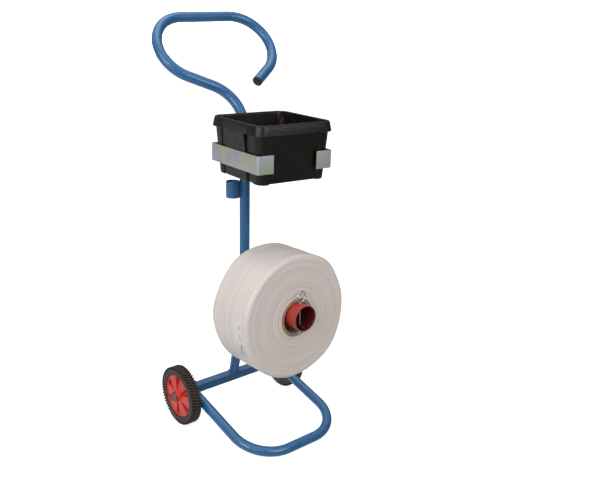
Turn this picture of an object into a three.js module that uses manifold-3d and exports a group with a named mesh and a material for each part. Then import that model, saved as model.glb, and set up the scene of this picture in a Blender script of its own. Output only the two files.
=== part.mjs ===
// Strapping trolley: a two-wheeled frame that carries a coil of plastic strapping on a
// spindle, with a parts bin, a holster for the hand tensioner and a push handle.
// Millimetres, +Z up, the trolley's front towards -Y. While the parts are being made,
// Y = 0 is the wheel axle and Z = 0 is the floor; the last lines move the origin to the
// middle of the footprint.

import * as THREE from "three";
import { mergeVertices } from "three/addons/utils/BufferGeometryUtils.js";
import Module from "manifold-3d";

// ---------------------------------------------------------------- driving dimensions

const GAP = 0.3; // air between pieces that touch on the real trolley
const TUBE_RADIUS = 12.5; // round frame tube, 25 mm outside
const TUBE_WALL = 1.5;

const WHEEL_RADIUS = 75;
const TYRE_WIDTH = 26;
const TYRE_FACETS = 48;
const WHEEL_OUTER_FACE = 178.5; // from the middle of the trolley to the tyre's outer side
const RIM_RADIUS = 54.5;
const RIM_RECESS = 3.4; // rim face, below the tyre's side
const HUB_RISE = 7; // hub boss, beyond the rim face
const AXLE_RADIUS = 5;
const AXLE_HALF_LENGTH = 188;
const HUB_CAP_RADIUS = 12.5;
const HUB_CAP_TOP = 191;
const WASHER_ROOM = 2.1; // between the rim and what holds it, washer and gaps together

const CROSSBAR_DEPTH = 27;
const CROSSBAR_HEIGHT = 20.5;
const CROSSBAR_HALF_LENGTH = 147;
const CROSSBAR_Y = 3.7;
const CROSSBAR_Z = 78.4;
const END_PLATE = 3;

const BASE_RADIUS = 12; // the floor loop's tube, a little thinner than the mast's
const BASE_FRONT_Y = -278.8; // centre line of the floor bar
const BASE_HALF_WIDTH = 135;
const BASE_REAR_Z = 80;
const BASE_BEND = 94; // radius of the loop's two front corners

const POST_Y = -43.5; // centre line of the upright
const LOWER_BEND_Z = 302.7; // where the two straight centre lines would cross
const LOWER_BEND = 85;
const UPPER_BEND_Z = 755.9;
const UPPER_BEND = 76.7;
const HANDLE_LEAN = 38.5; // degrees that the handle loop leans back
const HANDLE_BEND = 88; // radius of the handle loop's corners
const HANDLE_FLARE = 63.7; // degrees that the tube turns where the loop leaves the post
const HANDLE_SIDE = 62.4; // straight run up the loop's right side
const HANDLE_TOP_TURN = 151.4;
const HANDLE_GRIP = 134; // straight run along the loop's top
const HANDLE_END_TURN = 143.8;
const HANDLE_END = 55.5; // straight run to the plugged end
const HEAD_TURN = -5; // degrees that handle, bracket and bin stand turned on the post

const COIL_FRONT_Y = -250.3;
const SPINDLE_Z = 336.5; // spindle axis at the coil's front face
const SPINDLE_TILT = 1.3; // degrees that the spindle's mouth is raised
const SPINDLE_RADIUS = 31;
const SPINDLE_WALL = 2.5;
const SPINDLE_MOUTH = 30.3; // spindle that shows in front of the coil
const CORE_BORE = 38;
const CORE_RADIUS = 46.3;
const COIL_RADIUS = 147.5;
const COIL_WIDTH = 128.7;
const COIL_DROP = 6.4; // the coil hangs this much below the spindle's axis
const STOP_RADIUS = 70;
const STOP_THICK = 4;
const PIN_RADIUS = 1.6;
const PIN_AHEAD = 9.5; // pin, in front of the coil
const PIN_TAIL = 16; // pin that shows below the spindle
const PIN_RING_RADIUS = 13.4; // centre line of the finger ring
const PIN_TURN = 7; // degrees that the ring is turned about the shank

const TOOL_RING_RADIUS = 17;
const TOOL_RING_BORE = 14.4;
const TOOL_RING_BOTTOM = 578;
const TOOL_RING_HEIGHT = 40;
const TOOL_RING_BEARING = 160; // degrees round the post, from +X

const STRIP = 2.5; // thickness of the bin bracket
const BRACKET_BOTTOM = 680;
const BRACKET_HEIGHT = 40;
const BRACKET_HALF_WIDTH = 95.8;
const BRACKET_LEFT_ARM = 201.3;
const BRACKET_RIGHT_ARM = 206;
const BRACKET_LEFT_LIP = 40; // length of the turned-in front end
const BRACKET_RIGHT_LIP = 42;
const BRACKET_BEND = 6;
const HEAD_OFFSET = -2.6; // bracket and bin, off the post's middle

const BIN_BOTTOM = 654;
const BIN_TOP = 783.5;
const BIN_SKIRT = 22.5; // height of the turned-down rim
const BIN_HALF_WIDTH = 101.5;
const BIN_HALF_DEPTH = 104;
const BIN_CENTRE_Y = -118; // in front of the post's axis
const BIN_WALL = 2.5;
const BIN_CORNER = 24;

// ---------------------------------------------------------------- small helpers

const wasm = await Module();
wasm.setup();
const radians = THREE.MathUtils.degToRad;

function paint(colour, roughness, metalness) {
  return new THREE.MeshStandardMaterial({ color: colour, roughness, metalness });
}

const BLUE = paint(0x3a6a9a, 0.4, 0.1);
const RED = paint(0xb03a2e, 0.45, 0.1);
const RIM_RED = paint(0xd2453c, 0.5, 0);
const RUBBER = paint(0x2f2b29, 0.9, 0);
const BLACK = paint(0x1c1a19, 0.6, 0);
const BIN_BLACK = paint(0x322d2a, 0.6, 0);
const ZINC = paint(0x9a9f92, 0.4, 0.9);
const STEEL = paint(0x9c9a96, 0.35, 1);
const STRAPPING = paint(0xcdc6c0, 0.5, 0);
const CARDBOARD = paint(0xa0917f, 0.95, 0);

/** A named mesh, put in a group. */
function add(group, name, geometry, material) {
  const mesh = new THREE.Mesh(geometry, material);
  mesh.name = name;
  group.add(mesh);
  return mesh;
}

function toManifold(geometry) {
  const bare = geometry.clone();
  bare.deleteAttribute("normal");
  bare.deleteAttribute("uv");
  const merged = mergeVertices(bare, 1e-3);
  const vertProperties = new Float32Array(merged.getAttribute("position").array);
  const triVerts = new Uint32Array(merged.getIndex().array);
  return new wasm.Manifold(new wasm.Mesh({ numProp: 3, vertProperties, triVerts }));
}

function fromManifold(manifold) {
  const mesh = manifold.getMesh();
  const geometry = new THREE.BufferGeometry();
  geometry.setAttribute("position", new THREE.BufferAttribute(mesh.vertProperties, 3));
  geometry.setIndex(new THREE.BufferAttribute(mesh.triVerts, 1));
  return geometry;
}

/** The first geometry without the others. */
function cut(geometry, ...tools) {
  let body = toManifold(geometry);
  for (const tool of tools) {
    body = body.subtract(toManifold(tool));
  }
  return fromManifold(body);
}

/** All the geometries as one solid. */
function join(...geometries) {
  let body = toManifold(geometries[0]);
  for (const piece of geometries.slice(1)) {
    body = body.add(toManifold(piece));
  }
  return fromManifold(body);
}

/** A box between two corners. */
function box(low, high) {
  const size = high.map((value, axis) => value - low[axis]);
  const middle = high.map((value, axis) => (value + low[axis]) / 2);
  return new THREE.BoxGeometry(...size).translate(...middle);
}

/** A cylinder round the Z axis, from z = bottom to z = top. */
function rod(radius, bottom, top, sides = 24) {
  const geometry = new THREE.CylinderGeometry(radius, radius, top - bottom, sides);
  return geometry.rotateX(Math.PI / 2).translate(0, 0, (top + bottom) / 2);
}

/** A solid of revolution round Y; the profile is [radius, y] pairs, listed anticlockwise. */
function turned(profile, segments) {
  const points = profile.map(([radius, y]) => new THREE.Vector2(radius, y));
  const onAxis = profile[0][0] === 0 && profile.at(-1)[0] === 0;
  if (!onAxis) {
    points.push(points[0].clone());
  }
  return new THREE.LatheGeometry(points, segments);
}

/** A plain ring round Y. */
function ring(inner, outer, low, high, segments) {
  return turned([[inner, low], [outer, low], [outer, high], [inner, high]], segments);
}

/** A rectangle with round corners, centred on the origin. */
function roundedRectangle(halfWidth, halfDepth, corner) {
  const shape = new THREE.Shape();
  const x = halfWidth - corner;
  const y = halfDepth - corner;
  shape.absarc(x, y, corner, 0, Math.PI / 2);
  shape.absarc(-x, y, corner, Math.PI / 2, Math.PI);
  shape.absarc(-x, -y, corner, Math.PI, 1.5 * Math.PI);
  shape.absarc(x, -y, corner, 1.5 * Math.PI, 2 * Math.PI);
  shape.closePath();
  return shape;
}

/** The cross-section of a round tube. */
function tubeSection(outer, wall) {
  const section = new THREE.Shape();
  section.absarc(0, 0, outer, 0, 2 * Math.PI);
  const bore = new THREE.Path();
  bore.absarc(0, 0, outer - wall, 0, 2 * Math.PI);
  section.holes.push(bore);
  return section;
}

const ARC_STEP = radians(17);

/** The centre line of a bent tube: straight runs and round bends, one station at each end
 * of a run and every few degrees of a bend. */
class BentLine extends THREE.Curve {
  constructor(start, direction) {
    super();
    this.point = start.clone();
    this.direction = direction.clone().normalize();
    this.stations = [];
    this.mark();
  }

  mark() {
    this.stations.push([this.point.clone(), this.direction.clone()]);
  }

  run(length) {
    this.point.addScaledVector(this.direction, length);
    this.mark();
    return this;
  }

  bend(axis, degrees, radius) {
    const angle = radians(degrees);
    const toCentre = axis.clone().cross(this.direction).multiplyScalar(Math.sign(angle));
    const centre = this.point.clone().addScaledVector(toCentre, radius);
    const steps = Math.ceil(Math.abs(angle) / ARC_STEP);
    for (let i = 0; i < steps; i += 1) {
      this.point.sub(centre).applyAxisAngle(axis, angle / steps).add(centre);
      this.direction.applyAxisAngle(axis, angle / steps);
      this.mark();
    }
    return this;
  }

  station(u) {
    return this.stations[Math.round(u * (this.stations.length - 1))];
  }

  getPointAt(u, target = new THREE.Vector3()) {
    return target.copy(this.station(u)[0]);
  }

  getTangentAt(u, target = new THREE.Vector3()) {
    return target.copy(this.station(u)[1]);
  }
}

/** A round tube along a bent line. */
function bentTube(line, radius) {
  return new THREE.ExtrudeGeometry(tubeSection(radius, TUBE_WALL), {
    extrudePath: line,
    steps: line.stations.length - 1,
    curveSegments: 7,
  });
}

const X_AXIS = new THREE.Vector3(1, 0, 0);
const model = new THREE.Group();

// ---------------------------------------------------------------- wheelbase

const crossbarFront = CROSSBAR_Y - CROSSBAR_DEPTH / 2;
const crossbarTop = CROSSBAR_Z + CROSSBAR_HEIGHT / 2;

/** A length of the crossbar's section along X, from x = low to x = high. */
function alongX(shape, low, high) {
  const geometry = new THREE.ExtrudeGeometry(shape, {
    depth: high - low,
    bevelEnabled: false,
    curveSegments: 3,
  });
  return geometry.rotateX(Math.PI / 2).rotateZ(Math.PI / 2).translate(low, 0, 0);
}

function makeCrossbar() {
  const section = roundedRectangle(CROSSBAR_DEPTH / 2, CROSSBAR_HEIGHT / 2, 3);
  section.holes.push(
    roundedRectangle(CROSSBAR_DEPTH / 2 - TUBE_WALL, CROSSBAR_HEIGHT / 2 - TUBE_WALL, 1.5),
  );
  return alongX(section, -CROSSBAR_HALF_LENGTH, CROSSBAR_HALF_LENGTH)
    .translate(0, CROSSBAR_Y, CROSSBAR_Z);
}

/** The plate that closes the crossbar's end and holds the axle. */
function makeEndPlate(side) {
  const section = roundedRectangle(CROSSBAR_DEPTH / 2, CROSSBAR_HEIGHT / 2, 3);
  const middle = side * (CROSSBAR_HALF_LENGTH + GAP + END_PLATE / 2);
  const plate = alongX(section, middle - END_PLATE / 2, middle + END_PLATE / 2)
    .translate(0, CROSSBAR_Y, CROSSBAR_Z);
  const hole = rod(AXLE_RADIUS + GAP, -AXLE_HALF_LENGTH, AXLE_HALF_LENGTH);
  return cut(plate, hole.rotateY(Math.PI / 2).translate(0, 0, WHEEL_RADIUS));
}

function makeBaseLoop() {
  const rise = BASE_REAR_Z - BASE_RADIUS;
  const reach = -BASE_FRONT_Y;
  const slope = Math.atan2(rise, reach);
  const forward = new THREE.Vector3(0, -Math.cos(slope), -Math.sin(slope));
  const normal = new THREE.Vector3(0, -Math.sin(slope), Math.cos(slope));
  const arm = Math.hypot(rise, reach) - BASE_BEND;
  const line = new BentLine(new THREE.Vector3(-BASE_HALF_WIDTH, 0, BASE_REAR_Z), forward)
    .run(arm)
    .bend(normal, 90, BASE_BEND)
    .run(2 * (BASE_HALF_WIDTH - BASE_BEND))
    .bend(normal, 90, BASE_BEND)
    .run(arm);
  const behind = box([-200, crossbarFront - GAP, 0], [200, 50, 150]);
  return cut(bentTube(line, BASE_RADIUS), behind);
}

add(model, "crossbar", makeCrossbar(), BLUE);
add(model, "base_loop", makeBaseLoop(), BLUE);
add(
  model,
  "axle",
  rod(AXLE_RADIUS, -AXLE_HALF_LENGTH, AXLE_HALF_LENGTH).rotateY(Math.PI / 2)
    .translate(0, 0, WHEEL_RADIUS),
  STEEL,
);

// ---------------------------------------------------------------- wheels

const plateFace = CROSSBAR_HALF_LENGTH + GAP + END_PLATE;
const hubInner = plateFace + WASHER_ROOM;
const tyreInner = WHEEL_OUTER_FACE - TYRE_WIDTH;
const rimFace = WHEEL_OUTER_FACE - RIM_RECESS;
const hubOuter = rimFace + HUB_RISE;
const capBase = hubOuter + WASHER_ROOM;
const washerBore = AXLE_RADIUS + GAP;
const AXLE_CLEARANCE = 0.6;
const RIM_HUB_RADIUS = 14;
const RIM_BAND_BORE = 48;
const RIM_WEB = 4; // thickness of the rim's web behind the pockets
const POCKETS = 6;
const POCKET_DEPTH = 9;
const POCKET_INNER = 15; // radii between which a pocket runs
const POCKET_OUTER = 51;

/** Rubber tyre, turned round Y with the trolley's middle at y = 0. Its facets' flats, not
 * their corners, are at the tyre's radius, and one flat lies on the floor. */
function makeTyre() {
  const shoulder = 2.5;
  const seat = RIM_RADIUS + 2 * GAP;
  const halfFacet = Math.PI / TYRE_FACETS;
  const tread = WHEEL_RADIUS / Math.cos(halfFacet);
  return turned(
    [
      [seat, tyreInner],
      [tread - shoulder, tyreInner],
      [tread, tyreInner + shoulder],
      [tread, WHEEL_OUTER_FACE - shoulder],
      [tread - shoulder, WHEEL_OUTER_FACE],
      [seat, WHEEL_OUTER_FACE],
    ],
    TYRE_FACETS,
  ).rotateY(halfFacet);
}

/** Moulded rim: hub, web and band, with a ring of wedge-shaped pockets in its face. */
function makeRim() {
  const bore = AXLE_RADIUS + AXLE_CLEARANCE;
  const web = rimFace - POCKET_DEPTH - RIM_WEB;
  const disc = turned(
    [
      [bore, hubInner],
      [RIM_HUB_RADIUS, hubInner],
      [RIM_HUB_RADIUS, web],
      [RIM_BAND_BORE, web],
      [RIM_BAND_BORE, tyreInner + 1],
      [RIM_RADIUS, tyreInner + 1],
      [RIM_RADIUS, rimFace],
      [RIM_HUB_RADIUS, rimFace],
      [RIM_HUB_RADIUS, hubOuter],
      [bore, hubOuter],
    ],
    48,
  );
  const wedge = new THREE.Shape();
  wedge.moveTo(POCKET_INNER, 1);
  wedge.lineTo(POCKET_INNER, -1);
  wedge.lineTo(POCKET_OUTER - 1.5, -10);
  wedge.lineTo(POCKET_OUTER, 0);
  wedge.lineTo(POCKET_OUTER - 1.5, 10);
  wedge.closePath();
  const pockets = [];
  for (let i = 0; i < POCKETS; i += 1) {
    const pocket = new THREE.ExtrudeGeometry(wedge, { depth: 20, bevelEnabled: false });
    pocket.rotateX(-Math.PI / 2).rotateY((i + 0.5) * 2 * Math.PI / POCKETS);
    pockets.push(pocket.translate(0, rimFace - POCKET_DEPTH, 0));
  }
  return cut(disc, ...pockets);
}

/** Domed push-on cap over the axle's end. */
function makeHubCap() {
  const edge = 1.6;
  return turned(
    [
      [0, AXLE_HALF_LENGTH + GAP],
      [washerBore, AXLE_HALF_LENGTH + GAP],
      [washerBore, capBase],
      [HUB_CAP_RADIUS, capBase],
      [HUB_CAP_RADIUS, HUB_CAP_TOP - edge],
      [HUB_CAP_RADIUS - edge, HUB_CAP_TOP],
      [0, HUB_CAP_TOP],
    ],
    20,
  );
}

for (const [side, word] of [[-1, "left"], [1, "right"]]) {
  const wheel = new THREE.Group();
  wheel.position.z = WHEEL_RADIUS;
  wheel.rotation.z = side * -Math.PI / 2;
  model.add(wheel);
  add(wheel, `tyre_${word}`, makeTyre(), RUBBER);
  add(wheel, `wheel_rim_${word}`, makeRim(), RIM_RED);
  add(
    wheel,
    `inner_washer_${word}`,
    ring(washerBore, 10, plateFace + GAP, hubInner - GAP, 16),
    STEEL,
  );
  add(
    wheel,
    `outer_washer_${word}`,
    ring(washerBore, 11.5, hubOuter + GAP, capBase - GAP, 16),
    STEEL,
  );
  add(wheel, `hub_cap_${word}`, makeHubCap(), STEEL);
  add(model, `end_plate_${word}`, makeEndPlate(side), BLUE);
}

// ---------------------------------------------------------------- mast and handle

const headX = X_AXIS.clone().applyAxisAngle(new THREE.Vector3(0, 0, 1), radians(HEAD_TURN));

/** The mast's centre line: from the crossbar up the post and round the handle loop. */
function mastLine() {
  const start = new THREE.Vector3(0, CROSSBAR_Y, crossbarTop);
  const lean = Math.atan2(CROSSBAR_Y - POST_Y, LOWER_BEND_Z - crossbarTop);
  const leaning = new THREE.Vector3(0, -Math.sin(lean), Math.cos(lean));
  const below = 10; // run that is trimmed off where the tube meets the crossbar
  const lowerTangent = LOWER_BEND * Math.tan(lean / 2);
  const upperTangent = UPPER_BEND * Math.tan(radians(HANDLE_LEAN) / 2);
  const slant = Math.hypot(CROSSBAR_Y - POST_Y, LOWER_BEND_Z - crossbarTop);
  const line = new BentLine(start.addScaledVector(leaning, -below), leaning)
    .run(below + slant - lowerTangent)
    .bend(X_AXIS, THREE.MathUtils.radToDeg(-lean), LOWER_BEND)
    .run(UPPER_BEND_Z - LOWER_BEND_Z - lowerTangent - upperTangent)
    .bend(headX, -HANDLE_LEAN, UPPER_BEND);
  const loopNormal = headX.clone().cross(line.direction).normalize();
  return line
    .bend(loopNormal, HANDLE_FLARE, HANDLE_BEND)
    .run(HANDLE_SIDE)
    .bend(loopNormal, -HANDLE_TOP_TURN, HANDLE_BEND)
    .run(HANDLE_GRIP)
    .bend(loopNormal, -HANDLE_END_TURN, HANDLE_BEND)
    .run(HANDLE_END);
}

const BOLT_RADIUS = 3; // bolts that hold the bin bracket to the post
const BOLT_LENGTH = 34.5;
const BOLT_HEAD_RADIUS = 5.5;
const BOLT_HEAD_HEIGHT = 3.2;
const NUT_RADIUS = 5.8; // across the corners
const NUT_HEIGHT = 5;
const BOLT_HEIGHTS = [BRACKET_BOTTOM + 10, BRACKET_BOTTOM + 30];

/** Holes for the bracket's bolts, along Y through an upright at the origin. */
function boltHoles() {
  return BOLT_HEIGHTS.map((z) => (
    rod(BOLT_RADIUS + GAP, -30, 30, 12).rotateX(Math.PI / 2).translate(0, 0, z)
  ));
}

const mast = mastLine();
const trim = box([-50, -50, 0], [50, 50, crossbarTop + GAP]);
const mastHoles = boltHoles().map((hole) => (
  hole.rotateZ(radians(HEAD_TURN)).translate(0, POST_Y, 0)
));
add(model, "mast_tube", cut(bentTube(mast, TUBE_RADIUS), trim, ...mastHoles), BLUE);

/** The plug in the handle's open end: a spigot in the tube and a domed head. */
function makeEndPlug() {
  const spigot = TUBE_RADIUS - TUBE_WALL - 0.5;
  return turned(
    [
      [0, -14],
      [spigot, -14],
      [spigot, GAP],
      [TUBE_RADIUS, GAP],
      [TUBE_RADIUS, 2.5],
      [TUBE_RADIUS - 3, 4.6],
      [0, 5.6],
    ],
    24,
  );
}

const plug = add(model, "handle_end_plug", makeEndPlug(), BLACK);
plug.position.copy(mast.point);
plug.quaternion.setFromUnitVectors(new THREE.Vector3(0, 1, 0), mast.direction);

// ---------------------------------------------------------------- holster for the tensioner

const toolRing = new THREE.Group();
const ringReach = TUBE_RADIUS + TOOL_RING_RADIUS + GAP / 2;
toolRing.position.set(
  ringReach * Math.cos(radians(TOOL_RING_BEARING)),
  POST_Y + ringReach * Math.sin(radians(TOOL_RING_BEARING)),
  TOOL_RING_BOTTOM,
);
toolRing.rotation.x = Math.PI / 2;
model.add(toolRing);
add(
  toolRing,
  "tool_ring",
  ring(TOOL_RING_BORE, TOOL_RING_RADIUS, 0, TOOL_RING_HEIGHT, 32),
  BLUE,
);

// ---------------------------------------------------------------- spindle and coil

// In this group Y runs along the spindle, from its mouth back to the mast, and y = 0 is
// the coil's front face.
const spindle = new THREE.Group();
spindle.position.set(0, COIL_FRONT_Y, SPINDLE_Z);
spindle.rotation.x = -radians(SPINDLE_TILT);
model.add(spindle);

const stopFront = COIL_WIDTH + 1.5;
const spindleBack = stopFront + STOP_THICK + 6;
const postFront = POST_Y - TUBE_RADIUS - COIL_FRONT_Y;

function makeSpindleTube() {
  const tube = ring(
    SPINDLE_RADIUS - SPINDLE_WALL,
    SPINDLE_RADIUS,
    -SPINDLE_MOUTH,
    spindleBack,
    48,
  );
  const pinHole = rod(PIN_RADIUS + 0.5, -40, 40, 12).translate(0, -PIN_AHEAD, 0);
  return cut(tube, pinHole);
}

/** The tube that joins the spindle to the mast: a plug in the spindle's back end and a
 * shank that is cut to the post's shape. */
function makeSpindleStub() {
  const plugRadius = SPINDLE_RADIUS - SPINDLE_WALL - GAP;
  const plugLength = 30;
  const shankRadius = 21;
  const postAxis = postFront + TUBE_RADIUS;
  const stub = turned(
    [
      [0, spindleBack - plugLength],
      [plugRadius, spindleBack - plugLength],
      [plugRadius, spindleBack + GAP],
      [shankRadius, spindleBack + GAP],
      [shankRadius, postAxis],
      [0, postAxis],
    ],
    32,
  );
  const post = rod(TUBE_RADIUS + GAP, -60, 60, 32).rotateX(radians(SPINDLE_TILT))
    .translate(0, postAxis, 0);
  const behindPost = box([-30, postAxis, -40], [30, postAxis + 30, 40]);
  return cut(stub, post, behindPost);
}

/** Wire pin with a finger ring, standing upright through the spindle. */
function makePin() {
  const ringLift = SPINDLE_RADIUS + GAP + PIN_RING_RADIUS + PIN_RADIUS;
  const ringOffset = 3.5; // the ring's centre, beside the shank
  const finger = new THREE.TorusGeometry(PIN_RING_RADIUS, PIN_RADIUS, 8, 28)
    .rotateX(Math.PI / 2)
    .translate(ringOffset, 0, ringLift);
  const shankTop = ringLift - Math.sqrt(PIN_RING_RADIUS ** 2 - ringOffset ** 2);
  const shank = rod(PIN_RADIUS, -SPINDLE_RADIUS - PIN_TAIL, shankTop, 12);
  return join(shank, finger).rotateZ(radians(PIN_TURN)).translate(0, -PIN_AHEAD, 0);
}

add(spindle, "spindle_tube", makeSpindleTube(), RED);
add(
  spindle,
  "stop_disc",
  ring(SPINDLE_RADIUS + GAP, STOP_RADIUS, stopFront, stopFront + STOP_THICK, 48),
  BLUE,
);
add(spindle, "spindle_stub", makeSpindleStub(), BLUE);
add(spindle, "retaining_pin", makePin(), STEEL);

const SCREW_HEAD_RADIUS = 6.5;
const SCREW_HEAD_HEIGHT = 6.5;
const SCREW_BEHIND_MOUTH = 12;
const spindleBore = SPINDLE_RADIUS - SPINDLE_WALL;
const screwSeat = Math.sqrt(spindleBore ** 2 - SCREW_HEAD_RADIUS ** 2) - GAP;
const stopScrew = add(
  spindle,
  "stop_screw",
  rod(SCREW_HEAD_RADIUS, 0, SCREW_HEAD_HEIGHT, 16),
  BLACK,
);
stopScrew.position.set(0, SCREW_BEHIND_MOUTH - SPINDLE_MOUTH, -screwSeat);

const COIL_EDGE = 1.5; // chamfer of the wound coil's rims
const coil = new THREE.Group();
coil.position.z = -COIL_DROP;
spindle.add(coil);
add(
  coil,
  "coil_core",
  ring(CORE_BORE, CORE_RADIUS, 0.5, COIL_WIDTH - 0.5, 48),
  CARDBOARD,
);
add(
  coil,
  "strap_coil",
  turned(
    [
      [CORE_RADIUS + GAP, 0],
      [COIL_RADIUS - COIL_EDGE, 0],
      [COIL_RADIUS, COIL_EDGE],
      [COIL_RADIUS, COIL_WIDTH - COIL_EDGE],
      [COIL_RADIUS - COIL_EDGE, COIL_WIDTH],
      [CORE_RADIUS + GAP, COIL_WIDTH],
    ],
    64,
  ),
  STRAPPING,
);

// ---------------------------------------------------------------- bin bracket and bin

// In this group the post's axis is x = y = 0 and everything is turned with the handle.
const head = new THREE.Group();
head.position.y = POST_Y;
head.rotation.z = radians(HEAD_TURN);
model.add(head);

const bracketBack = -(TUBE_RADIUS + GAP);

/** One side of the strip's outline, from lip to lip, a distance in from its outer face. */
function stripSide(inset) {
  const w = BRACKET_HALF_WIDTH - inset;
  const back = -inset;
  const left = -BRACKET_LEFT_ARM + inset;
  const right = -BRACKET_RIGHT_ARM + inset;
  const r = BRACKET_BEND - inset;
  const side = new THREE.Path();
  side.moveTo(-BRACKET_HALF_WIDTH + BRACKET_LEFT_LIP, left);
  side.lineTo(-w + r, left);
  side.absarc(-w + r, left + r, r, -Math.PI / 2, -Math.PI, true);
  side.lineTo(-w, back - r);
  side.absarc(-w + r, back - r, r, Math.PI, Math.PI / 2, true);
  side.lineTo(w - r, back);
  side.absarc(w - r, back - r, r, Math.PI / 2, 0, true);
  side.lineTo(w, right + r);
  side.absarc(w - r, right + r, r, 0, -Math.PI / 2, true);
  side.lineTo(BRACKET_HALF_WIDTH - BRACKET_RIGHT_LIP, right);
  return side.getPoints(3);
}

/** Flat strip bent round the bin, open at the front between its two lips. */
function makeBracket() {
  const outline = [...stripSide(0), ...stripSide(STRIP).reverse()];
  const strip = new THREE.ExtrudeGeometry(new THREE.Shape(outline), {
    depth: BRACKET_HEIGHT,
    bevelEnabled: false,
  });
  strip.translate(HEAD_OFFSET, bracketBack, BRACKET_BOTTOM);
  return cut(strip, ...boltHoles());
}

/** A block whose plan tapers: half sizes at the bottom and at the top. */
function tapered(bottomHalf, topHalf, corner, low, high) {
  const block = new THREE.ExtrudeGeometry(
    roundedRectangle(topHalf[0], topHalf[1], corner),
    { depth: high - low, bevelEnabled: false, curveSegments: 4 },
  );
  const position = block.getAttribute("position");
  for (let i = 0; i < position.count; i += 1) {
    const t = position.getZ(i) / (high - low);
    const scaleX = (bottomHalf[0] + (topHalf[0] - bottomHalf[0]) * t) / topHalf[0];
    const scaleY = (bottomHalf[1] + (topHalf[1] - bottomHalf[1]) * t) / topHalf[1];
    position.setXY(i, position.getX(i) * scaleX, position.getY(i) * scaleY);
  }
  return block.translate(0, 0, low);
}

const OVERHANG = 8.7; // of the rim over the bin's walls
const RIM_FLARE = 3.5; // the rim's lower edge stands out this much beyond its top
const PANEL_FRONT = -40; // front and back edges of the raised side panels
const PANEL_BACK = 44;
const wallTop = [BIN_HALF_WIDTH - OVERHANG, BIN_HALF_DEPTH - OVERHANG];
const wallBottom = [84.5, 88.5];
const WALL_CORNER = 16; // radius of the walls' upright corners
const panelTop = 96.3;
const panelBottom = 87.6;

/** Moulded bin: tapered walls, a raised panel on each side and a turned-down rim. */
function makeBin() {
  const skirtBottom = BIN_TOP - BIN_SKIRT;
  const walls = tapered(wallBottom, wallTop, WALL_CORNER, BIN_BOTTOM, skirtBottom + 5);
  const panels = tapered(
    [panelBottom, wallBottom[1]],
    [panelTop, wallTop[1]],
    2,
    BIN_BOTTOM,
    skirtBottom + 5,
  );
  const frontKnife = box([-150, -150, 600], [150, PANEL_FRONT, 900]);
  const backKnife = box([-150, PANEL_BACK, 600], [150, 150, 900]);
  const rim = tapered(
    [BIN_HALF_WIDTH, BIN_HALF_DEPTH],
    [BIN_HALF_WIDTH - RIM_FLARE, BIN_HALF_DEPTH - RIM_FLARE],
    BIN_CORNER,
    skirtBottom,
    BIN_TOP,
  );
  const underRim = cut(
    tapered(
      [BIN_HALF_WIDTH - BIN_WALL, BIN_HALF_DEPTH - BIN_WALL],
      [BIN_HALF_WIDTH - RIM_FLARE - BIN_WALL, BIN_HALF_DEPTH - RIM_FLARE - BIN_WALL],
      BIN_CORNER - BIN_WALL,
      skirtBottom - 1,
      BIN_TOP - BIN_WALL,
    ),
    tapered(wallTop, wallTop, WALL_CORNER, skirtBottom - 5, BIN_TOP),
  );
  const cavity = tapered(
    [wallBottom[0] - BIN_WALL, wallBottom[1] - BIN_WALL],
    [wallTop[0] - BIN_WALL, wallTop[1] - BIN_WALL],
    WALL_CORNER - BIN_WALL,
    BIN_BOTTOM + BIN_WALL,
    BIN_TOP + 1,
  );
  const panel = cut(panels, frontKnife, backKnife);
  return cut(join(walls, panel, cut(rim, underRim)), cavity);
}

/** Pan-head bolt from inside the strip, through the post. */
function makeBolt(z) {
  const panHead = rod(BOLT_HEAD_RADIUS, 0, BOLT_HEAD_HEIGHT, 16);
  const shank = rod(BOLT_RADIUS, -BOLT_LENGTH, 0.5, 12);
  return join(panHead, shank).rotateX(Math.PI / 2)
    .translate(0, bracketBack - STRIP - GAP, z);
}

/** Hexagon nut against the back of the post. */
function makeNut(z) {
  const thread = rod(BOLT_RADIUS + GAP, -1, NUT_HEIGHT + 1, 12);
  const nut = cut(rod(NUT_RADIUS, 0, NUT_HEIGHT, 6), thread);
  return nut.rotateX(-Math.PI / 2).translate(0, TUBE_RADIUS + GAP, z);
}

add(head, "bin_bracket", makeBracket(), ZINC);
for (const [i, word] of ["lower", "upper"].entries()) {
  add(head, `bracket_bolt_${word}`, makeBolt(BOLT_HEIGHTS[i]), STEEL);
  add(head, `bracket_nut_${word}`, makeNut(BOLT_HEIGHTS[i]), STEEL);
}
const bin = add(head, "parts_bin", makeBin(), BIN_BLACK);
bin.position.set(HEAD_OFFSET, BIN_CENTRE_Y, 0);

// ---------------------------------------------------------------- origin

const extent = new THREE.Box3().setFromObject(model, true);
const centre = extent.getCenter(new THREE.Vector3());
model.position.set(-centre.x, -centre.y, -extent.min.z);

export default model;
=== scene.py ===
"""Strapping trolley: detailed pieces, materials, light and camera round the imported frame.

Sizes are in millimetres up to the moment a mesh is made. Unless a comment says otherwise,
y is counted from the wheel axle and z from the floor, and place() adds the frame's shift.
"""

import math
import random

import bmesh
import bpy
import numpy as np
from mathutils import Euler, Matrix, Quaternion, Vector


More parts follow.
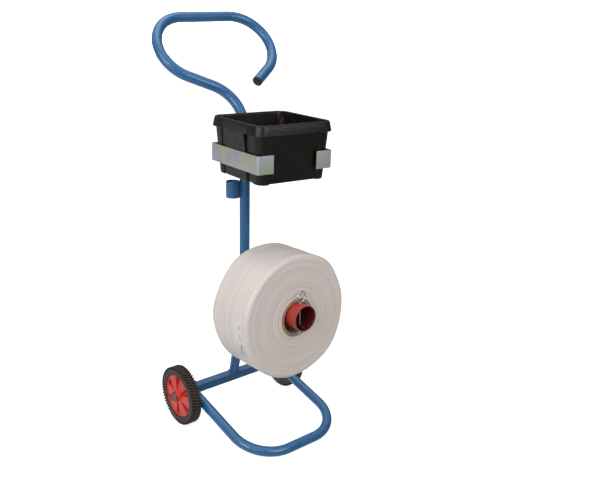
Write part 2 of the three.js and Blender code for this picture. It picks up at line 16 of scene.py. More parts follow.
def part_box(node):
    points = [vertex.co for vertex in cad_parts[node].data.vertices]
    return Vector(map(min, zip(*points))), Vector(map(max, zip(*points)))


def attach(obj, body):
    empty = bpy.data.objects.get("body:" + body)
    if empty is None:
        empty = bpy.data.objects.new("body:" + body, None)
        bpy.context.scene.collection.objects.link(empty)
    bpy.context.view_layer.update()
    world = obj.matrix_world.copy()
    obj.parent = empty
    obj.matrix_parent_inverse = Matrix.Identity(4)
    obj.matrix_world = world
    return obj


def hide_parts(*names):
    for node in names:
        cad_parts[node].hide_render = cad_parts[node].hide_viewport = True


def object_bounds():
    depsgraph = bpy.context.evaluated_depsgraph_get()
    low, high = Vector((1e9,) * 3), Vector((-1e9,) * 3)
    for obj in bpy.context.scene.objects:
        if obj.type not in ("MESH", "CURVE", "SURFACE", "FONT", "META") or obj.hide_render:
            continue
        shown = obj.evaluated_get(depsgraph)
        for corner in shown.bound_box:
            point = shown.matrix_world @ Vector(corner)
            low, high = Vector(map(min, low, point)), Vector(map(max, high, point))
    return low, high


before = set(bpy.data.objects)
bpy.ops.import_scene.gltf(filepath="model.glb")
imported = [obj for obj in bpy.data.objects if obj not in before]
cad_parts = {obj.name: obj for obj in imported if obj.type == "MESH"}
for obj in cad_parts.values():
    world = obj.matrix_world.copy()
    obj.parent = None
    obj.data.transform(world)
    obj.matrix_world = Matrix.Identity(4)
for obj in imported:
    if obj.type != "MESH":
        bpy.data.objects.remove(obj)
cad_low, cad_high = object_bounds()

MM = 0.001
TAU = 2 * math.pi


def middle(node):
    low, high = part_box(node)
    return (low + high) / 2


AXLE = middle("axle")

# ---- dimensions (mm)

GAP = 0.3
TUBE = 12.5
WALL = 1.5
WHEEL = 75
TYRE_INNER, TYRE_OUTER, TREAD_BASE = 152.5, 178.5, 68.4
RIM = 54.5
RIM_FACE = 175.1
HUB_RISE, HUB, RIM_WEB = 7, 14.2, 159.6
CAP_TOP = 191
RIM_HOLE, SMALL_HOLE = 5.6, 5.3  # round the axle: the rim's, and a cap's or washer's
CROSSBAR_Y, CROSSBAR_Z = 3.7, 78.4
CROSSBAR_DEPTH, CROSSBAR_HEIGHT, CROSSBAR_HALF = 27, 20.5, 147
BASE_TUBE, BASE_FRONT, BASE_HALF, BASE_REAR_Z, BASE_BEND = 12, -278.8, 135, 80, 94
POST_Y = -43.5
LOWER_BEND_Z, LOWER_BEND = 302.7, 85
UPPER_BEND_Z, UPPER_BEND = 755.9, 76.7
HANDLE_LEAN, HANDLE_BEND = 38.5, 88
HEAD_TURN = -5
COIL_FRONT_Y, SPINDLE_Z, SPINDLE_TILT = -250.3, 336.5, 1.3
SPINDLE, SPINDLE_WALL, SPINDLE_MOUTH = 31, 2.5, 30.3
CORE_BORE, CORE, COIL, COIL_WIDTH, COIL_DROP = 38, 46.3, 147.5, 128.7, 6.4
STOP_FRONT, STOP_BACK, SPINDLE_BACK = 130.2, 134.2, 140.2
PIN, PIN_AHEAD, PIN_TAIL, PIN_RING = 1.6, 9.5, 16, 13.4
RING_OUTER, RING_BORE, RING_BOTTOM, RING_HEIGHT = 17, 14.4, 578, 40
STRIP, BRACKET_BOTTOM, BRACKET_TOP, BRACKET_HALF = 2.5, 680, 720, 95.8
LEFT_ARM, RIGHT_ARM, LEFT_LIP, RIGHT_LIP, BRACKET_BEND = 201.3, 206, 40, 42, 4.75
HEAD_OFFSET, BIN_Y = -2.6, -118
BIN_BOTTOM, BIN_TOP, SKIRT_BOTTOM = 654, 783.5, 761

crossbar_front = CROSSBAR_Y - CROSSBAR_DEPTH / 2
crossbar_top = CROSSBAR_Z + CROSSBAR_HEIGHT / 2


def place(x=0.0, y=0.0, z=0.0, turn=(0.0, 0.0, 0.0)):
    """Where a piece's own origin goes: a point in mm and a turn in degrees."""
    spot = Vector((x, y, z)) * MM + Vector((0, AXLE.y, 0))
    turned_by = Euler([math.radians(a) for a in turn])
    return Matrix.Translation(spot) @ turned_by.to_matrix().to_4x4()


GROUND = place()
WHEELS = place(z=WHEEL)
SPINDLE_PLACE = place(0, COIL_FRONT_Y, SPINDLE_Z, (-SPINDLE_TILT, 0, 0))
COIL_PLACE = SPINDLE_PLACE @ Matrix.Translation((0, 0, -COIL_DROP * MM))
HEAD_PLACE = place(0, POST_Y, 0, (0, 0, HEAD_TURN))
BIN_PLACE = HEAD_PLACE @ Matrix.Translation((HEAD_OFFSET * MM, BIN_Y * MM, 0))

# ---- materials


class Nodes:
    """Short ways to add nodes to a node tree."""

    def __init__(self, tree):
        self.tree = tree

    def join(self, value, socket):
        if isinstance(value, bpy.types.NodeSocket):
            self.tree.links.new(value, socket)
        else:
            socket.default_value = value

    def node(self, kind, inputs, output=0, **settings):
        made = self.tree.nodes.new("ShaderNode" + kind)
        for key, value in settings.items():
            setattr(made, key, value)
        for key, value in inputs.items():
            self.join(value, made.inputs[key])
        return made.outputs[output]

    def math(self, operation, a, b=0.0):
        return self.node("Math", {0: a, 1: b}, operation=operation)

    def times(self, a, b):
        return self.math("MULTIPLY", a, b)

    def remap(self, value, low, high, to_low=0.0, to_high=1.0):
        return self.node("MapRange", {0: value, 1: low, 2: high, 3: to_low, 4: to_high})

    def mix(self, factor, a, b):
        """From colour a to colour b; each is a colour or a socket."""
        made = self.tree.nodes.new("ShaderNodeMix")
        made.data_type = "RGBA"
        self.join(factor, made.inputs[0])
        for value, socket in ((a, made.inputs[6]), (b, made.inputs[7])):
            self.join((*value, 1.0) if isinstance(value, tuple) else value, socket)
        return made.outputs[2]

    def ramp(self, value, stops):
        """A value turned into colours; stops are (position, colour)."""
        made = self.node("ValToRGB", {0: value})
        elements = made.node.color_ramp.elements
        while len(elements) < len(stops):
            elements.new(0.5)
        for element, (position, colour) in zip(elements, stops):
            element.position = position
            element.color = (*colour, 1)
        return made


class Look(Nodes):
    """A material with a Principled shader."""

    def __init__(self, name, **fixed):
        self.material = bpy.data.materials.new(name)
        self.material.use_nodes = True
        super().__init__(self.material.node_tree)
        self.shader = self.tree.nodes["Principled BSDF"]
        for socket, value in fixed.items():
            self.shader.inputs[socket.replace("_", " ")].default_value = value
        self.coordinates = self.node("TexCoord", {}, "Object")

    def set(self, socket, value):
        self.join(value, self.shader.inputs[socket])

    def rough(self, value, low, high):
        """Roughness that follows a noise between two values."""
        self.set("Roughness", self.remap(value, 0.3, 0.7, low, high))

    def stretch(self, scale):
        """Object coordinates, scaled along each axis."""
        return self.node("Mapping", {"Vector": self.coordinates, "Scale": scale})

    def noise(self, scale, detail, vector=None, roughness=0.5, distortion=0.0):
        where = self.coordinates if vector is None else vector
        inputs = {"Vector": where, "Scale": scale, "Detail": detail}
        inputs |= {"Roughness": roughness, "Distortion": distortion}
        return self.node("TexNoise", inputs)

    def cloud(self, scale, detail, low, high, to_low=0.0, to_high=1.0, roughness=0.5):
        """Noise whose range from low to high is spread over another range."""
        noise = self.noise(scale, detail, roughness=roughness)
        return self.remap(noise, low, high, to_low, to_high)

    def bump(self, height, strength, distance, below=None):
        inputs = {"Height": height, "Strength": strength, "Distance": distance}
        if below is not None:
            inputs["Normal"] = below
        return self.node("Bump", inputs)

    def axis(self, letter):
        return self.node("SeparateXYZ", {0: self.coordinates}, "XYZ".index(letter))

    def distance(self, a, b):
        """How far a point is from the piece's third axis."""
        across = self.node("CombineXYZ", {0: self.axis(a), 1: self.axis(b)})
        return self.node("VectorMath", {0: across}, "Value", operation="LENGTH")


def srgb(red, green, blue):
    """A colour given as 0-255 screen values, in linear light."""

    def linear(v):
        v /= 255
        return v / 12.92 if v <= 0.04045 else ((v + 0.055) / 1.055) ** 2.4

    return (linear(red), linear(green), linear(blue))


def make_paint(name, colour, deep, worn, roughness=0.28, dusty=False, shaded_bore_radius=None):
    """Stoved enamel: slight orange peel, slow changes of tone, small scuffs, and painted shade
    inside a bore when its radius is given.
    """
    look = Look(name, Roughness=roughness, Coat_Weight=0.5, Coat_Roughness=0.07)
    base = look.mix(look.cloud(9, 4, 0.3, 0.7), colour, deep)
    scuff = look.cloud(160, 8, 0.6, 0.66, roughness=0.75)
    scuff = look.times(scuff, look.cloud(16, 3, 0.56, 0.68))
    base = look.mix(look.times(scuff, 0.35), base, worn)
    if dusty:
        low = look.remap(look.axis("Z"), 0.0, 0.03, 1.0, 0.0)
        specks = look.times(look.cloud(420, 6, 0.52, 0.62), 0.3)
        base = look.mix(look.times(low, specks), base, worn)
    # Painted shade: surfaces nearer the axis than the bore radius are darkened towards
    # near-black red.
    if shaded_bore_radius:
        inside = look.remap(look.distance("X", "Z"), shaded_bore_radius, shaded_bore_radius + 0.001, 0.72, 0.0)
        base = look.mix(inside, base, srgb(24, 6, 6))
    look.set("Base Color", base)
    rough = look.cloud(40, 5, 0.3, 0.7, roughness - 0.05, roughness + 0.09)
    look.set("Roughness", look.math("ADD", rough, look.times(scuff, 0.3)))
    peel = look.bump(look.noise(170, 1), 0.06, 0.0004)
    look.set("Normal", look.bump(look.noise(1400, 2), 0.03, 0.0002, peel))
    return look.material


def make_rim_plastic():
    look = Look("rim_plastic", Coat_Weight=0.25, Coat_Roughness=0.2)
    base = look.mix(look.cloud(30, 4, 0.35, 0.7), srgb(222, 62, 50), srgb(196, 38, 32))
    dust = look.cloud(190, 8, 0.58, 0.75, 0.0, 0.35, roughness=0.7)
    look.set("Base Color", look.mix(dust, base, srgb(226, 120, 105)))
    look.rough(look.noise(80, 4), 0.34, 0.5)
    look.set("Normal", look.bump(look.noise(1800, 3), 0.12, 0.0002))
    return look.material


def make_rubber():
    """Dusty rubber, with painted shade darkening the grooves of the tread."""
    look = Look("tyre_rubber")
    base = look.mix(look.cloud(24, 5, 0.3, 0.7), srgb(56, 47, 45), srgb(72, 61, 58))
    dust = look.cloud(520, 7, 0.55, 0.72, 0.0, 0.4, roughness=0.7)
    base = look.mix(dust, base, srgb(98, 86, 80))
    # Painted shade: the tread's grooves, below the lug tops, are darkened towards near-black.
    radius = look.distance("Y", "Z")
    tread = look.remap(radius, TREAD_BASE * MM, (TREAD_BASE + 1.4) * MM)
    grooves = look.remap(radius, (WHEEL - 1.4) * MM, (WHEEL - 0.3) * MM, 1.0, 0.0)
    groove_shade = look.times(look.times(tread, grooves), 0.9)
    look.set("Base Color", look.mix(groove_shade, base, srgb(16, 12, 10)))
    look.rough(look.noise(60, 4), 0.55, 0.78)
    grain = look.bump(look.noise(2600, 3), 0.25, 0.0002)
    look.set("Normal", look.bump(look.noise(300, 4), 0.2, 0.0003, grain))
    return look.material


def make_moulded(name, colour, light, roughness):
    """Injection-moulded plastic with a fine spark-eroded grain and a few rub marks."""
    look = Look(name, Specular_IOR_Level=0.38)
    base = look.mix(look.cloud(18, 4, 0.35, 0.7), colour, light)
    streaks = look.noise(40, 6, look.stretch((1, 1, 9)), roughness=0.65)
    look.set("Base Color", look.mix(look.remap(streaks, 0.6, 0.8, 0.0, 0.35), base, light))
    look.rough(look.noise(70, 4), roughness - 0.07, roughness + 0.1)
    fine = look.bump(look.noise(2200, 3), 0.3, 0.00015)
    look.set("Normal", look.bump(look.noise(35, 2), 0.12, 0.0012, fine))
    return look.material


def make_zinc():
    """Passivated zinc plate: clouds of yellow, violet and green over fine rolled grain."""
    look = Look("passivated_zinc", Metallic=0.55)
    stops = (
        (0.30, srgb(168, 174, 182)),
        (0.41, srgb(172, 172, 188)),
        (0.49, srgb(174, 182, 178)),
        (0.57, srgb(178, 184, 164)),
        (0.68, srgb(186, 182, 158)),
    )
    tints = look.ramp(look.noise(19, 3, distortion=0.6), stops)
    specks = look.cloud(420, 6, 0.6, 0.72, 0.0, 0.3, roughness=0.7)
    look.set("Base Color", look.mix(specks, tints, srgb(226, 226, 220)))
    grain = look.noise(60, 4, look.stretch((1, 1, 40)))
    look.rough(grain, 0.38, 0.55)
    look.set("Normal", look.bump(grain, 0.12, 0.0003))
    return look.material


def make_steel(name, colour, shade, roughness, grain=(1, 1, 14)):
    look = Look(name, Metallic=1.0)
    look.set("Base Color", look.mix(look.cloud(70, 5, 0.35, 0.7), colour, shade))
    lines = look.noise(180, 4, look.stretch(grain))
    look.rough(lines, roughness - 0.08, roughness + 0.12)
    look.set("Normal", look.bump(lines, 0.12, 0.0002))
    return look.material


def make_strapping():
    """Wound polypropylene strap: bands across the rim, turn on turn on the two faces."""
    look = Look("wound_strap", Coat_Weight=0.35, Coat_Roughness=0.3)
    normal = look.node("TexCoord", {}, "Normal")
    facing = look.math("ABSOLUTE", look.node("SeparateXYZ", {0: normal}, 1))
    faces = look.remap(facing, 0.6, 0.8)
    ring_place = look.math("ADD", look.distance("X", "Z"), look.times(look.noise(6, 2), 0.004))
    band_place = look.math("ADD", look.axis("Y"), look.times(look.noise(5, 2), 0.003))

    def lines(value, scale, detail):
        return look.noise(scale, detail, look.node("CombineXYZ", {0: value}))

    rings, bands = lines(ring_place, 150, 4), lines(band_place, 150, 4)
    pattern = look.node("Mix", {0: faces, 2: bands, 3: rings})
    fine_rings, fine_bands = lines(ring_place, 1500, 2), lines(band_place, 1100, 2)
    fine = look.node("Mix", {0: faces, 2: fine_bands, 3: fine_rings})
    light, shade = srgb(229, 221, 216), srgb(208, 198, 193)
    base = look.mix(look.remap(pattern, 0.34, 0.66), light, shade)
    base = look.mix(look.remap(fine, 0.5, 0.75, 0.0, 0.35), base, srgb(190, 182, 178))
    warm = look.cloud(11, 3, 0.45, 0.65, 0.0, 0.55)
    base = look.mix(look.times(warm, faces), base, srgb(222, 210, 190))
    arcs = look.times(look.remap(rings, 0.6, 0.66), look.cloud(17, 2, 0.6, 0.68))
    arcs = look.times(arcs, look.times(faces, 0.5))
    look.set("Base Color", look.mix(arcs, base, srgb(168, 142, 104)))
    look.rough(fine, 0.34, 0.5)
    groove = look.bump(pattern, 0.18, 0.0008)
    look.set("Normal", look.bump(fine, 0.22, 0.0002, groove))
    return look.material


def make_cardboard():
    look = Look("core_board", Roughness=0.9)
    base = look.mix(look.cloud(90, 6, 0.3, 0.7), srgb(172, 156, 134), srgb(142, 126, 106))
    plies = look.noise(2200, 1, look.node("CombineXYZ", {0: look.distance("X", "Z")}))
    base = look.mix(look.remap(plies, 0.5, 0.62, 0.0, 0.4), base, srgb(112, 96, 78))
    fibres = look.noise(700, 6, look.stretch((1, 3, 1)), roughness=0.7)
    fibres = look.remap(fibres, 0.6, 0.72, 0.0, 0.4)
    look.set("Base Color", look.mix(fibres, base, srgb(196, 182, 160)))
    look.set("Normal", look.bump(look.noise(900, 5), 0.4, 0.0003))
    return look.material


def make_tape():
    look = Look("clear_tape", Coat_Weight=0.8, Coat_Roughness=0.08)
    creases = look.noise(120, 4, look.stretch((1, 6, 1)))
    clear, creased = srgb(226, 219, 215), srgb(214, 206, 202)
    look.set("Base Color", look.mix(look.remap(creases, 0.4, 0.7), clear, creased))
    look.rough(creases, 0.16, 0.34)
    look.set("Normal", look.bump(creases, 0.2, 0.0004))
    return look.material


ENAMEL = srgb(32, 99, 150), srgb(27, 90, 140)
BLUE = make_paint("blue_enamel", *ENAMEL, srgb(86, 124, 156))
BLUE_LOW = make_paint("blue_enamel_floor", *ENAMEL, srgb(86, 118, 144), dusty=True)
# red_enamel darkens the sleeve's bore as painted shade.
RED = make_paint(
    "red_enamel", srgb(176, 54, 40), srgb(152, 40, 32), srgb(150, 96, 84), 0.42, shaded_bore_radius=0.0292
)
RIM_RED = make_rim_plastic()
RUBBER = make_rubber()
BIN_PLASTIC = make_moulded("bin_plastic", srgb(13, 7, 5), srgb(21, 14, 12), 0.34)
BLACK = make_moulded("black_plastic", srgb(30, 27, 26), srgb(44, 40, 38), 0.5)
ZINC = make_zinc()
STEEL = make_steel("bright_steel", srgb(226, 226, 224), srgb(200, 200, 200), 0.3)
CAP_STEEL = make_steel("cap_steel", srgb(150, 124, 114), srgb(130, 108, 100), 0.6, (14, 1, 1))
STRAPPING = make_strapping()
CARDBOARD = make_cardboard()
TAPE = make_tape()
DARK_MARK = make_moulded("printed_mark", srgb(70, 68, 70), srgb(96, 92, 92), 0.5)

# ---- mesh helpers


def grid(points, wrap_rows=False, wrap_columns=True):
    """Points in rows of equal length, as vertices and four-sided faces."""
    points = np.asarray(points, float)
    rows, columns = points.shape[:2]
    index = np.arange(rows * columns).reshape(rows, columns)
    a = index if wrap_rows else index[:-1]
    b = np.roll(index, -1, 0) if wrap_rows else index[1:]
    if wrap_columns:
        a_next, b_next = np.roll(a, -1, 1), np.roll(b, -1, 1)
    else:
        a, a_next = a[:, :-1], a[:, 1:]
        b, b_next = b[:, :-1], b[:, 1:]
    faces = np.stack([a, a_next, b_next, b], -1).reshape(-1, 4)
    return points.reshape(-1, 3), [tuple(int(i) for i in face) for face in faces]


def capped(rows):
    """Rings joined to a bar, with a flat face over the first and the last ring."""
    vertices, faces = grid(rows)
    count = len(rows[0])
    faces.append(tuple(range(count)))
    faces.append(tuple(range(len(vertices) - count, len(vertices)))[::-1])
    return vertices, faces


def with_poles(vertices, faces, count, poles):
    """Closes rings of that many points by fans; poles are (number of the ring, point)."""
    vertices = [tuple(v) for v in vertices]
    for row, point in poles:
        vertices.append(point)
        pole, first = len(vertices) - 1, row * count
        faces += [(first + i, first + (i + 1) % count, pole) for i in range(count)]
    return vertices, faces


def kept_in_box(point):
    """Smooth tubes swell about 0.3 mm past their faceted frame, so they stop at its box."""
    for i in range(3):
        point[i] = min(max(point[i], cad_low[i]), cad_high[i])
    return point


def piece(name, parts, material, body, where=GROUND, replaces=(), crease=38):
    """A mesh object from one or more (vertices, faces) parts given in mm, put on a body."""
    vertices, faces = [], []
    back = where.inverted()
    for part_vertices, part_faces in parts:
        start = len(vertices)
        vertices += [back @ kept_in_box(where @ (Vector(v) * MM)) for v in part_vertices]
        faces += [tuple(i + start for i in face) for face in part_faces]
    mesh = bpy.data.meshes.new(name)
    mesh.from_pydata(vertices, [], faces)
    shape = bmesh.new()
    shape.from_mesh(mesh)
    bmesh.ops.remove_doubles(shape, verts=shape.verts, dist=1e-6)
    bmesh.ops.recalc_face_normals(shape, faces=shape.faces)
    shape.to_mesh(mesh)
    shape.free()
    mesh.shade_smooth()
    mesh.set_sharp_from_angle(angle=math.radians(crease))
    mesh.materials.append(material)
    made = bpy.data.objects.new(name, mesh)
    bpy.context.scene.collection.objects.link(made)
    made.matrix_world = where
    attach(made, body)
    if replaces:
        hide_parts(*replaces)
    return made


def painted(name, parts, where=GROUND, replaces=()):
    return piece(name, parts, BLUE, "frame", where, replaces)


def fillet(corners, steps=4):
    """A polyline whose corners, given as (a, b, radius), are rounded."""
    line = []
    count = len(corners)
    for i, (a, b, radius) in enumerate(corners):
        here = Vector((a, b))
        if radius <= 0 or i in (0, count - 1):
            line.append(here)
            continue
        back = (Vector(corners[i - 1][:2]) - here).normalized()
        ahead = (Vector(corners[i + 1][:2]) - here).normalized()
        half = back.angle(ahead) / 2
        reach = radius / math.tan(half)
        start, end = here + back * reach, here + ahead * reach
        centre = here + (back + ahead).normalized() * (radius / math.sin(half))
        spread = (start - centre).angle_signed(end - centre)
        for step in range(steps + 1):
            arm = start - centre
            arm.rotate(Matrix.Rotation(-spread * step / steps, 2))
            line.append(centre + arm)
    return line


def turned(profile, axis, segments=96, closed=True):
    """Surface of revolution round the x or y axis; profile is (radius, along) pairs.
    An open profile starts and ends on the axis."""
    profile = [tuple(p) for p in profile]
    angles = np.linspace(0, TAU, segments, endpoint=False)
    ring_part = profile if closed else profile[1:-1]
    rows = []
    for radius, along in ring_part:
        u, v = radius * np.cos(angles), radius * np.sin(angles)
        w = np.full_like(angles, along)
        rows.append(np.stack([w, u, v] if axis == "x" else [u, w, v], -1))
    vertices, faces = grid(rows, wrap_rows=closed)
    if closed:
        return vertices, faces
    ends = [(w, 0, 0) if axis == "x" else (0, w, 0) for w in (profile[0][1], profile[-1][1])]
    poles = ((0, ends[0]), (len(ring_part) - 1, ends[1]))
    return with_poles(vertices, faces, segments, poles)


class BentLine:
    """The centre line of a bent tube, as stations of point and direction."""

    def __init__(self, start, direction):
        self.point = Vector(start)
        self.direction = Vector(direction).normalized()
        self.stations = []
        self.mark()

    def mark(self):
        self.stations.append((self.point.copy(), self.direction.copy()))

    def run(self, length):
        self.point += self.direction * length
        self.mark()
        return self

    def bend(self, axis, degrees, radius):
        axis = Vector(axis).normalized()
        sense = 1 if degrees > 0 else -1
        centre = self.point + axis.cross(self.direction) * sense * radius
        steps = max(1, math.ceil(abs(degrees) / 2.5))
        step = Quaternion(axis, math.radians(degrees) / steps)
        for _ in range(steps):
            self.point = centre + step @ (self.point - centre)
            self.direction = step @ self.direction
            self.mark()
        return self


def rings_along(stations, radius, sides=40):
    """Circles round a line of stations, turned as little as possible from one to the next.
    The radius is a number or a function of the station's number."""
    first = stations[0][1]
    side = first.orthogonal().normalized()
    turns = [TAU * k / sides for k in range(sides)]
    rows = []
    before = first
    for i, (point, direction) in enumerate(stations):
        side = before.rotation_difference(direction) @ side
        side = (side - direction * side.dot(direction)).normalized()
        other = direction.cross(side)
        before = direction
        r = radius(i) if callable(radius) else radius
        rows.append([point + (side * math.cos(t) + other * math.sin(t)) * r for t in turns])
    return rows


def flatten_end(ring, direction, normal, level):
    """Slides a ring's points along a direction on to the plane where normal . p = level."""
    rate = direction.dot(normal)
    return [p + direction * ((level - p.dot(normal)) / rate) for p in ring]


def tube(stations, radius, wall=WALL, sides=48, start=None, end=None):
    """A hollow tube. start and end are (normal, level) of the planes that cut it."""
    outer = rings_along(stations, radius, sides)
    inner = rings_along(stations, radius - wall, sides)
    for rows in (outer, inner):
        if start:
            rows[0] = flatten_end(rows[0], stations[0][1], *start)
        if end:
            rows[-1] = flatten_end(rows[-1], stations[-1][1], *end)
    return grid(outer + inner[::-1], wrap_rows=True)


def solid_wire(stations, radius, sides=14):
    """A closed round bar along stations, with its ends capped."""
    return capped(rings_along(stations, radius, sides))


def through(points):
    """Stations along a polyline, each facing the way the line goes there."""
    points = [Vector(p) for p in points]
    made = []
    for i, point in enumerate(points):
        ahead = points[min(i + 1, len(points) - 1)] - points[max(i - 1, 0)]
        made.append((point, ahead.normalized()))
    return made


def weld(points, size, pitch=2.6, seed=1):
    """A weld bead along a line: overlapping ripples that fade out at both ends."""
    line = [Vector(p) for p in points]
    lengths = [0.0]
    for a, b in zip(line, line[1:]):
        lengths.append(lengths[-1] + (b - a).length)
    total = lengths[-1]
    count = max(8, round(total / 0.45))
    draw = random.Random(seed)
    sway = [draw.uniform(-1, 1) for _ in range(int(total / pitch) + 3)]
    samples, sizes = [], []
    for k in range(count + 1):
        s = total * k / count
        i = min(len(line) - 2, max(j for j, v in enumerate(lengths) if v <= s + 1e-9))
        span = lengths[i + 1] - lengths[i]
        samples.append(line[i].lerp(line[i + 1], (s - lengths[i]) / span if span else 0))
        turn = s / pitch
        ripple = 0.82 + 0.2 * abs(math.sin(math.pi * turn)) + 0.08 * sway[int(turn)]
        fade = min(1.0, (s + 0.5) / 2.2, (total - s + 0.5) / 2.2)
        sizes.append(size * ripple * max(0.3, fade))
    return solid_wire(through(samples), lambda i: sizes[i], 12)


# ---- wheelbase


def rounded_rectangle(half_a, half_b, radius, steps=6):
    """Points round a rectangle with round corners, anticlockwise."""
    points = []
    for k in range(4):
        sign_a = 1 if k in (0, 3) else -1
        sign_b = 1 if k in (0, 1) else -1
        for step in range(steps + 1):
            t = TAU / 4 * (k + step / steps)
            a = sign_a * (half_a - radius) + radius * math.cos(t)
            b = sign_b * (half_b - radius) + radius * math.sin(t)
            points.append((a, b))
    return points


def make_crossbar():
    half_y, half_z = CROSSBAR_DEPTH / 2, CROSSBAR_HEIGHT / 2
    ends = (-CROSSBAR_HALF, CROSSBAR_HALF)
    outer = rounded_rectangle(half_y, half_z, 3)
    inner = rounded_rectangle(half_y - WALL, half_z - WALL, 1.5)
    rows = [[(x, CROSSBAR_Y + a, CROSSBAR_Z + b) for a, b in outer] for x in ends]
    rows += [[(x, CROSSBAR_Y + a, CROSSBAR_Z + b) for a, b in inner] for x in ends[::-1]]
    return grid(rows, wrap_rows=True)


painted("crossbar_tube", [make_crossbar()], replaces=("crossbar",))


def make_base_loop():
    rise, reach = BASE_REAR_Z - BASE_TUBE, -BASE_FRONT
    slope = math.atan2(rise, reach)
    forward = Vector((0, -math.cos(slope), -math.sin(slope)))
    normal = Vector((0, -math.sin(slope), math.cos(slope)))
    arm = math.hypot(rise, reach) - BASE_BEND
    line = BentLine((-BASE_HALF, 0, BASE_REAR_Z), forward).run(arm)
    line.bend(normal, 90, BASE_BEND).run(2 * (BASE_HALF - BASE_BEND))
    line.bend(normal, 90, BASE_BEND).run(arm)
    plane = (Vector((0, 1, 0)), crossbar_front - GAP)
    return tube(line.stations, BASE_TUBE, start=plane, end=plane)


piece(
    "base_loop_tube", [make_base_loop()], BLUE_LOW, "frame",
    replaces=("base_loop",),
)

base_welds = []
around = BASE_TUBE + 1.0
for number, side_x in enumerate((-BASE_HALF, BASE_HALF)):
    for facing in (0, 180):
        arc = []
        for step in range(13):
            t = math.radians(facing - 42 + 7 * step)
            x, z = side_x + around * math.cos(t), CROSSBAR_Z + around * math.sin(t)
            arc.append((x, crossbar_front - 1.0, z))
        base_welds.append(weld(arc, 2.1, seed=3 + number))
painted("base_loop_welds", base_welds)

# ---- wheels

LUGS = 60
LUG_STEPS = 18
GROOVE = 3.8


def tyre_part(side):
    """Tyre with a smooth wall and two staggered rows of tread lugs, round the x axis."""
    centre = (TYRE_INNER + TYRE_OUTER) / 2
    half = (TYRE_OUTER - TYRE_INNER) / 2
    wall = [(half - 0.9, RIM + 0.4), (half - 0.2, 56.0), (half, 57.5), (half - 0.1, 58.8)]
    wall += [(half - 0.5, 59.8), (half - 0.45, 62.5), (half - 0.3, 66.0), (half - 0.1, 68.0)]
    wall += [(half, 69.2), (half, 70.2), (half, 71.4), (half, 72.6), (half - 0.1, 73.8)]
    wall += [(half - 0.5, 74.6), (half - 1.2, WHEEL)]
    tread = [(u, WHEEL) for u in np.linspace(half - 2.0, -(half - 2.0), 34)]
    section = wall + tread + [(-u, r) for u, r in wall[::-1]]
    section += [(0.4 - half, RIM - 2), (0.1 - half, 49), (0.2 - half, 47), (0.7 - half, 46.4)]
    section += [(1.5 - half, 46.6), (1.9 - half, 48), (1.9 - half, RIM + 0.4)]
    u = np.array([p[0] for p in section])[:, None]
    r = np.array([p[1] for p in section])[:, None]
    angle = np.linspace(0, TAU, LUGS * LUG_STEPS, endpoint=False)[None, :]
    lug = angle * LUGS / TAU + np.where(u > 0, 0.0, 0.5) + 0.25 * np.abs(u) / half
    wave = np.abs((lug % 1.0) - 0.5) * 2
    cut = np.clip((wave - 0.45) / 0.16, 0, 1) * np.clip((np.abs(u) - 0.5) / 0.9, 0, 1)
    cut = cut * cut * (3 - 2 * cut)
    reach = np.clip((r - TREAD_BASE) / 1.6, 0, 1)
    radius = r - GROOVE * cut * reach * np.clip((r - TREAD_BASE) / 4.5, 0.25, 1)
    offset = u - np.sign(u) * 1.8 * cut * reach * (np.abs(u) > half - 1.6)
    x = side * (centre + offset)
    y, z = radius * np.cos(angle), radius * np.sin(angle)
    return grid(np.stack([x + 0 * y, y, z], -1), wrap_rows=True)


def rim_part(side):
    """Moulded rim: the face has a raised edge, a flat boss and six sloping pockets."""
    segments = 360
    angle = np.linspace(0, TAU, segments, endpoint=False)[None, :]
    radii = np.concatenate([np.linspace(RIM_HOLE, 49.0, 66), np.linspace(49.5, 54.3, 16)])
    radii = radii[:, None]
    sector = (angle * 6 / TAU) % 1.0 - 0.5
    across = radii * np.sin(sector * TAU / 6)
    along = radii * np.cos(sector * TAU / 6)
    half_width = 1.2 + 9.4 * np.clip((along - 14.5) / 35.5, 0, 1)
    inside = np.minimum(half_width - np.abs(across), 51.4 - radii)
    inside = np.minimum(inside, along - HUB)
    ease = np.clip(inside / 2.4 + 0.15, 0, 1)
    ease = ease * ease * (3 - 2 * ease)
    depth = 12.5 * (0.35 + 0.65 * np.clip((along - 15) / 30, 0, 1))
    crown = 2.6 * np.clip((50 - radii) / 36, 0, 1)
    face = RIM_FACE - 0.4 + crown - depth * ease
    edge = np.clip((radii - 52.0) / 0.6, 0, 1) * np.clip((54.6 - radii) / 0.5, 0, 1)
    face = face + 1.3 * edge + 0 * angle
    boss = np.clip((HUB - radii) / 1.2, 0, 1)
    face = face + (RIM_FACE + HUB_RISE - face) * boss
    front = np.stack([face, radii * np.cos(angle), radii * np.sin(angle)], -1)
    back = [(RIM, RIM_FACE - 1), (RIM, TYRE_INNER + 3), (RIM - 0.6, TYRE_INNER + 2.4)]
    back += [(49, TYRE_INNER + 2.4), (48.2, TYRE_INNER + 3.4), (47.8, RIM_WEB - 1.2)]
    back += [(46.6, RIM_WEB), (16, RIM_WEB), (14.4, RIM_WEB - 1.2), (14, TYRE_INNER + 0.9)]
    back += [(13.2, TYRE_INNER), (RIM_HOLE, TYRE_INNER)]
    rear = [
        np.stack([np.full(segments, x), r * np.cos(angle[0]), r * np.sin(angle[0])], -1)
        for r, x in back
    ]
    points = np.concatenate([front, np.array(rear)], 0)
    points[..., 0] *= side
    return grid(points, wrap_rows=True)


def hub_cap_part(side):
    """Push-on cap: a sloping flange round a low dome."""
    outline = [(0, -2.7), (SMALL_HOLE, -2.7), (SMALL_HOLE, -6.8), (11.9, -6.8), (12.5, -6.2)]
    outline += [(12.5, -4.2), (12.2, -3.2), (11.5, -2.6), (10.6, -2.6), (10.0, -2.2)]
    outline += [(9.6, -1.2), (9.0, -0.5), (8.0, -0.2), (4.0, 0), (0, 0)]
    return turned([(r, side * (CAP_TOP + x)) for r, x in outline], "x", 64, closed=False)


